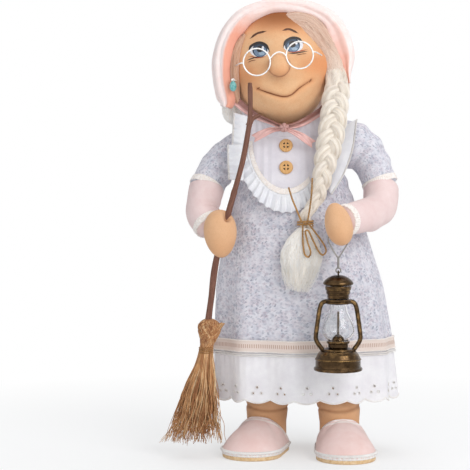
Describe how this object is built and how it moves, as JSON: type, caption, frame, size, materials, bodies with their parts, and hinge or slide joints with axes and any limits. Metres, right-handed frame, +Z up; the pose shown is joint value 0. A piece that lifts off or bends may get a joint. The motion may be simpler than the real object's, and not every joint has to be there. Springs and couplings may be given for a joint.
{
  "type": "befana doll",
  "caption": "Standing stuffed granny doll in bonnet and floral dress, with wire spectacles, braid, twig broom and hanging lantern.",
  "frame": {"origin": "on the floor, under the middle of the doll's box, loose twine left out", "axes": "+Z up along the doll, -Y the way the doll faces, +X to the doll's left hand with the lantern"},
  "size_m": [0.207, 0.154, 0.4043],
  "materials": {
    "body_cloth": "plain cotton",
    "skin": "painted cloth",
    "felt": "soft fleece",
    "hair": "combed wool",
    "wool": "plaited wool",
    "jute": "rough twine",
    "floral": "small floral print",
    "lilac": "fine cotton",
    "lace": "cream lace",
    "cotton": "white eyelet cotton",
    "peach": "ladder-stitch ribbon",
    "satin": "satin",
    "rose": "pink felt",
    "cork": "cork",
    "wood": "waxed",
    "twig": "bare bark",
    "straw": "dry sorghum",
    "thread": "waxed thread",
    "bronze": "aged bronze",
    "wire": "bright wire",
    "glass": "clear",
    "bead": "polished bead",
    "pin": "dark"
  },
  "bodies": {
    "doll": {"torso": "body_cloth", "head": "skin", "nose": "skin", "bonnet_crown": "felt", "bonnet_brim": "felt", "hair_sweep": "hair", "hair_lock": "hair", "braid": "wool", "braid_tail": "wool", "twine_winding": "jute", "twine_end_right": "jute", "twine_end_left": "jute", "twine_loops": "jute", "dress": "floral", "hem_ribbon": "peach", "hem_flounce": "cotton", "bib": "lilac", "bib_lace": "lace", "bib_ruffle": "cotton", "button_upper": "wood", "button_lower": "wood", "shoulder_flounce_left": "lilac", "shoulder_flounce_right": "lilac", "ribbon_band": "satin", "ribbon_bow": "satin", "leg_right": "skin", "leg_dowel_right": "wood", "slipper_sole_right": "cork", "slipper_upper_right": "rose", "slipper_piping_right": "felt", "leg_left": "skin", "leg_dowel_left": "wood", "slipper_sole_left": "cork", "slipper_upper_left": "rose", "slipper_piping_left": "felt", "earring_pin": "pin"},
    "right_arm": {"sleeve_right": "floral", "elbow_lace_right": "lace", "forearm_right": "rose", "wrist_trim_right": "cotton", "hand_right": "skin"},
    "left_arm": {"sleeve_left": "floral", "elbow_lace_left": "lace", "forearm_left": "rose", "wrist_trim_left": "cotton", "hand_left": "skin"},
    "broom": {"broom_stick": "twig", "broom_tuft": "straw", "broom_binding": "thread", "broom_bristles": "straw"},
    "bail": {"lantern_bail": "wire"},
    "lantern": {"lantern_tank": "bronze", "lantern_burner": "bronze", "lantern_glass": "glass", "lantern_frame": "bronze", "lantern_chimney": "bronze", "lantern_cap": "bronze"},
    "spectacles": {"spectacles": "wire"},
    "earring": {"earring_bead": "bead"}
  },
  "joints": [
    {"name": "right_arm_lift", "type": "hinge", "parent": "doll", "child": "right_arm", "pos_m": [-0.03131, 0.01772, 0.297], "axis": [0, 1, 0], "range_deg": [0, 15]},
    {"name": "left_arm_lift", "type": "hinge", "parent": "doll", "child": "left_arm", "pos_m": [0.04269, 0.01772, 0.301], "axis": [0, -1, 0], "range_deg": [0, 15]},
    {"name": "broom_turn", "type": "hinge", "parent": "right_arm", "child": "broom", "pos_m": [-0.05271, -0.02779, 0.2018], "axis": [0.2563, -0.0986, 0.9616], "range_deg": [-20, 20]},
    {"name": "lantern_swing", "type": "hinge", "parent": "left_arm", "child": "bail", "pos_m": [0.04409, -0.05628, 0.193], "axis": [-1, 0, 0], "range_deg": [-1.5, 30]},
    {"name": "lantern_tilt", "type": "hinge", "parent": "bail", "child": "lantern", "pos_m": [0.04409, -0.05628, 0.1668], "axis": [0, 1, 0], "range_deg": [-15, 15]},
    {"name": "spectacles_slide", "type": "slide", "parent": "doll", "child": "spectacles", "axis": [0, -1, 0], "range_m": [0, 0.02]},
    {"name": "earring_swing", "type": "hinge", "parent": "doll", "child": "earring", "pos_m": [-0.04531, -0.01229, 0.331], "axis": [-0.4983, -0.867, 0], "range_deg": [-20, 20]}
  ]
}
